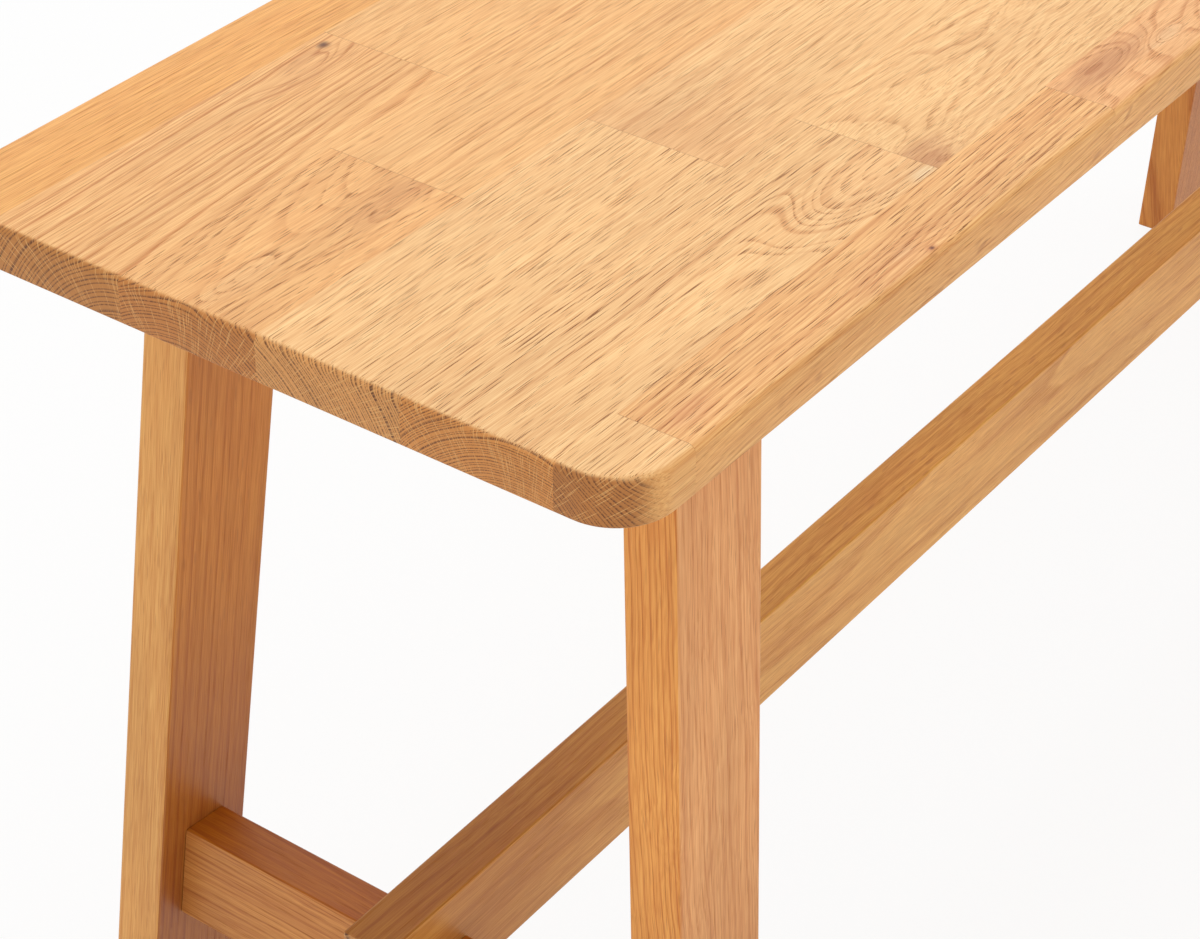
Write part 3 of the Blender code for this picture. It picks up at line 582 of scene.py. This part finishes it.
panel.data.materials.append(seat_oak())
bpy.ops.object.select_all(action="DESELECT")
panel.select_set(True)
bpy.context.view_layer.objects.active = panel
bpy.ops.object.shade_smooth_by_angle(angle=SMOOTH_ANGLE)
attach(panel, "root")
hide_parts(*[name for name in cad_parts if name.startswith("seat_stave_")])


# Legs
# Four flat boards of solid oak, planed and oiled, that lean outwards along the bench and across it.
# Their wide faces look out sideways, and their grain runs from the seat down to the foot.

SPLAY = math.radians(5.0)
LEG_END_TONE = "#C08848"
# Painted shade: a warm grey that a board's tone is multiplied by towards one end, standing in for the shade
# under the seat and near the rails
PAINTED_SHADE_TONE = "#C8B389"

# How squarely a face has to look through the board to start to count as a wide one, and to be one
WIDE_STARTS, WIDE_FULL = 0.5, 0.9


def board_oak(node, along, wide, tones, figure, pith, drift, painted_shade, number):
    """Oiled oak for one board: planed faces whose wide and narrow sides differ in tone.

    The pattern is turned so that X lies along the board and Y across its wide face, and its middle
    is the board's. Tones are those of the wide faces, the narrow ones and the end grain. Figure is how
    strongly the year rings show on the wide faces and on the narrow ones, then the pores and streaks.
    Pith and drift are as in solid_oak. The argument after drift is where along the board a painted shade
    starts and is full, in millimetres from its middle, then how much of it shows on the wide and narrow
    faces. It darkens the board towards one end, standing in for the shade that falls on it under the seat.
    """
    material = bpy.data.materials.new("oiled_planed_oak_" + node)
    material.use_nodes = True
    tree = material.node_tree
    along = Vector(along).normalized()
    through = along.cross(Vector(wide)).normalized()
    low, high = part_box(node)
    middle = (Vector(low) + Vector(high)) / 2
    turn = Matrix((along, through.cross(along), through)).transposed().to_euler()
    place = put(tree, "Mapping", {"Vector": put(tree, "TexCoord", output="Object"), "Location": middle,
                                  "Rotation": turn, "Scale": (MM, MM, MM)}, vector_type="TEXTURE")
    wood = put(tree, "Group", {"Place": place, "Pith": pith, "Drift": drift, "Number": number},
               node_tree=SOLID_OAK).node.outputs

    normal = put(tree, "NewGeometry", output="Normal")
    facing = put(tree, "VectorMath", {0: normal, 1: through}, output="Value", operation="DOT_PRODUCT")
    facing = put(tree, "Math", {0: facing}, operation="ABSOLUTE")
    wide_share = put(tree, "MapRange", {"Value": facing, "From Min": WIDE_STARTS, "From Max": WIDE_FULL},
                     interpolation_type="SMOOTHSTEP")
    wide_tone, narrow_tone, end_tone = [linear(tone) for tone in tones]
    tone = put(tree, "Mix", {FACTOR: wide_share, FIRST: narrow_tone, SECOND: wide_tone}, output=MIXED,
               data_type="RGBA")
    # Painted shade: the tone darkens along the board towards one end, standing in for the shade under the
    # seat and near the rails
    shade_starts, shade_full, shade_wide, shade_narrow = painted_shade
    painted_shade_share = put(tree, "MapRange", {"Value": wide_share, "To Min": shade_narrow, "To Max": shade_wide})
    painted_shade_share = put(tree, "MapRange", {"Value": put(tree, "SeparateXYZ", {0: place}, output="X"),
                                         "From Min": shade_starts, "From Max": shade_full,
                                         "To Max": painted_shade_share}, interpolation_type="SMOOTHSTEP")
    tone = put(tree, "Mix", {FACTOR: painted_shade_share, FIRST: tone, SECOND: linear(PAINTED_SHADE_TONE)}, output=MIXED,
               data_type="RGBA", blend_type="MULTIPLY")
    rings_wide, rings_narrow, pores, streaks = figure
    rings = put(tree, "MapRange", {"Value": wide_share, "To Min": rings_narrow, "To Max": rings_wide})
    finish_oak(tree, wood, tone, end_tone, along, rings, pores, streaks)
    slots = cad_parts[node].data.materials
    slots.clear()
    slots.append(material)


lean = math.tan(SPLAY)
# Each leg's tone darkens towards its foot: painted shade, standing in for the shade low down under the seat
# and by the rails
board_oak("leg_1_right", along=(-lean, -lean, -1), wide=(1, 0, 0), tones=("#F3B374", "#F8B05A", LEG_END_TONE),
          figure=(0.40, 0.85, 0.22, 0.5), pith=(2.1, -46, -26), drift=(6.0, 0.01, 0.03),
          painted_shade=(-80, 40, 0.28, 0.30), number=31)
board_oak("leg_1_left", along=(-lean, lean, -1), wide=(1, 0, 0), tones=("#D99447", "#EBAF62", LEG_END_TONE),
          figure=(0.55, 0.30, 0.15, 0.4), pith=(4.6, 70, -6), drift=(1.5, 0.00, 0.01),
          painted_shade=(-100, 110, 0.88, 0.15), number=32)
board_oak("leg_2_right", along=(lean, -lean, -1), wide=(1, 0, 0), tones=("#D89651", "#DF9A49", LEG_END_TONE),
          figure=(0.40, 0.50, 0.25, 0.5), pith=(2.4, 50, -30), drift=(3.0, 0.01, 0.03),
          painted_shade=(-40, 160, 0.15, 0.15), number=33)
board_oak("leg_2_left", along=(lean, lean, -1), wide=(1, 0, 0), tones=("#D89651", "#DF9A49", LEG_END_TONE),
          figure=(0.40, 0.50, 0.25, 0.5), pith=(2.6, -60, -20), drift=(2.0, 0.01, 0.02),
          painted_shade=(0, 200, 0.20, 0.10), number=34)


# Lower rails
# A board of the same oak on edge between the two legs of each trestle, planed and oiled. Its
# shoulders are cut to the legs' lean and its stub tenons are glued into them.

BOARD_END_TONE = "#BC8048"

# Each rail's tone darkens towards its far leg: painted shade, standing in for the shade under the seat
for node, number in (("lower_rail_1", 35), ("lower_rail_2", 36)):
    board_oak(node, along=(0, 1, 0), wide=(0, 0, 1), tones=("#D6954C", "#B8721A", BOARD_END_TONE),
              figure=(0.6, 0.5, 0.35, 0.8), pith=(2.6, -30, -40), drift=(3.0, 0.0, 0.04),
              painted_shade=(40, 110, 0.25, 0.15), number=number)


# Top battens
# A planed batten of the same oak between the leg tops of each trestle, tenoned into them. The seat
# is bolted to it from below, through slots that let the panel swell and shrink.

# Each batten's tone darkens towards its far end: painted shade, standing in for the shade under the seat
for node, number in (("top_batten_1", 37), ("top_batten_2", 38)):
    board_oak(node, along=(0, 1, 0), wide=(0, 0, 1), tones=("#D8964E", "#CC8844", BOARD_END_TONE),
              figure=(0.5, 0.5, 0.4, 0.6), pith=(2.4, 40, -40), drift=(2.0, 0.0, 0.02),
              painted_shade=(-90, 60, 0.20, 0.20), number=number)


# Stretcher
# One long board of the same oak on edge, planed and oiled. It is half-lapped over both lower rails
# and held by a screw from below, and its ends run a little past them.

# The stretcher's tone darkens towards its near end, under the seat by the near trestle: painted shade
board_oak("stretcher", along=(1, 0, 0), wide=(0, 0, 1), tones=("#F1B96A", "#E0AC58", BOARD_END_TONE),
          figure=(0.40, 0.45, 0.20, 0.6), pith=(5.0, 10, -50), drift=(4.0, 0.02, 0.02),
          painted_shade=(-190, -460, 0.68, 1.00), number=39)


# Bolts, washers, inserts and lap screws
# Machine-made steel hardware under the seat and rails, turned and then plated with bright zinc.
# The inserts sit in the seat, the bolts clamp the battens to it through their washers, and the
# screws go up through the rails into the stretcher.

# Spangle and turning lines in millimetres, and the plate's relief, which are drawn coarser than
# real ones to show at all; and the roughness of plate that is bright or rubbed dull
ZINC_TONES = ("#B9BDC1", "#D3D5D6")
SPANGLE_SIZE = 0.6
TURNED_LINE = (4.0, 4.0, 0.12)
PLATE_RELIEF, RELIEF_SHARE = 0.02 * MM, 0.2
BRIGHT, RUBBED = 0.22, 0.42


def zinc_plated_steel():
    """Bright zinc plate: cool and mirror-like, with fine crystal spangle and rubbed turning lines."""
    material = bpy.data.materials.new("zinc_plated_turned_steel")
    material.use_nodes = True
    tree = material.node_tree
    place = put(tree, "VectorMath", {0: put(tree, "TexCoord", output="Object"), "Scale": 1 / MM},
                operation="SCALE")
    spangle = put(tree, "TexVoronoi", {"Vector": place, "Scale": 1 / SPANGLE_SIZE}, output="Color")
    spangle = put(tree, "SeparateXYZ", {0: spangle}, output="X")
    colour = put(tree, "Mix", {FACTOR: spangle, FIRST: linear(ZINC_TONES[0]), SECOND: linear(ZINC_TONES[1])},
                 output=MIXED, data_type="RGBA")
    turned = put(tree, "VectorMath", {0: place, 1: TURNED_LINE}, operation="DIVIDE")
    turned = put(tree, "TexNoise", {"Vector": turned, "Scale": 1.0, "Detail": 2.0})
    rough = put(tree, "MapRange", {"Value": turned, "To Min": BRIGHT, "To Max": RUBBED})
    relief = put(tree, "Bump", {"Strength": RELIEF_SHARE, "Distance": PLATE_RELIEF, "Height": turned})
    shader = tree.nodes["Principled BSDF"]
    shader.inputs["Metallic"].default_value = 1.0
    tree.links.new(colour, shader.inputs["Base Color"])
    tree.links.new(rough, shader.inputs["Roughness"])
    tree.links.new(relief, shader.inputs["Normal"])
    return material


zinc = zinc_plated_steel()
for name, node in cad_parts.items():
    if name.startswith(("seat_bolt_", "bolt_washer_", "seat_insert_", "lap_screw_")):
        node.data.materials.clear()
        node.data.materials.append(zinc)


# Floor and light
# A plain pale floor and one broad soft lamp overhead, with an even pale room round them. They
# are white to the camera and in reflections, and the floor keeps the bench's soft shadow.

FLOOR_SIZE, FLOOR_TONE, FLOOR_ROUGHNESS = 12.0, "#F4F3F1", 0.9

# How much of the floor is plain white to the camera, and how bright the room is as a light
WHITE_SHARE = 0.87
ROOM_LEVEL = 0.90
LAMP_WATTS, LAMP_SIZE = 8.0, (1.8, 1.4)
LAMP_PLACE, LAMP_AIM = (0.5, 0.6, 2.0), (-0.3, 0.0, 0.3)
WHITE = (1.0, 1.0, 1.0, 1.0)

bpy.ops.object.select_all(action="DESELECT")
bpy.ops.mesh.primitive_plane_add(size=FLOOR_SIZE, location=(0, 0, 0))
floor = bpy.context.object
floor.name = "floor"

# Matt pale paint, so rough that it shows no reflection of the bench
floor_material = bpy.data.materials.new("matt_pale_floor")
floor_material.use_nodes = True
tree = floor_material.node_tree
matt = tree.nodes["Principled BSDF"]
matt.inputs["Base Color"].default_value = linear(FLOOR_TONE)
matt.inputs["Roughness"].default_value = FLOOR_ROUGHNESS
ray = put(tree, "LightPath").node.outputs
seen = put(tree, "Math", {0: ray["Is Camera Ray"], 1: ray["Is Glossy Ray"]}, operation="MAXIMUM")
seen = put(tree, "Math", {0: seen, 1: ray["Is Transmission Ray"]}, operation="MAXIMUM")
seen = put(tree, "Math", {0: seen, 1: WHITE_SHARE}, operation="MULTIPLY")
white = put(tree, "Emission", {"Color": WHITE, "Strength": 1.0})
surface = put(tree, "MixShader", {0: seen, 1: matt.outputs["BSDF"], 2: white})
tree.links.new(surface, tree.nodes["Material Output"].inputs["Surface"])
floor.data.materials.append(floor_material)

world = bpy.data.worlds.new("pale_room")
bpy.context.scene.world = world
world.use_nodes = True
room = world.node_tree
background = room.nodes["Background"].inputs
background["Color"].default_value = WHITE
ray = put(room, "LightPath").node.outputs
seen = put(room, "Math", {0: ray["Is Camera Ray"], 1: ray["Is Glossy Ray"]}, operation="MAXIMUM")
seen = put(room, "Math", {0: seen, 1: ray["Is Transmission Ray"]}, operation="MAXIMUM")
level = put(room, "MapRange", {"Value": seen, "To Min": ROOM_LEVEL, "To Max": 1.0})
room.links.new(level, background["Strength"])

lamp_data = bpy.data.lights.new("soft_overhead", "AREA")
lamp_data.shape = "RECTANGLE"
lamp_data.size, lamp_data.size_y = LAMP_SIZE
lamp_data.energy = LAMP_WATTS
lamp = bpy.data.objects.new("soft_overhead", lamp_data)
lamp.location = LAMP_PLACE
lamp.rotation_euler = (Vector(LAMP_AIM) - Vector(LAMP_PLACE)).to_track_quat("-Z", "Y").to_euler()
bpy.context.scene.collection.objects.link(lamp)

bpy.context.scene.view_settings.view_transform = "Standard"
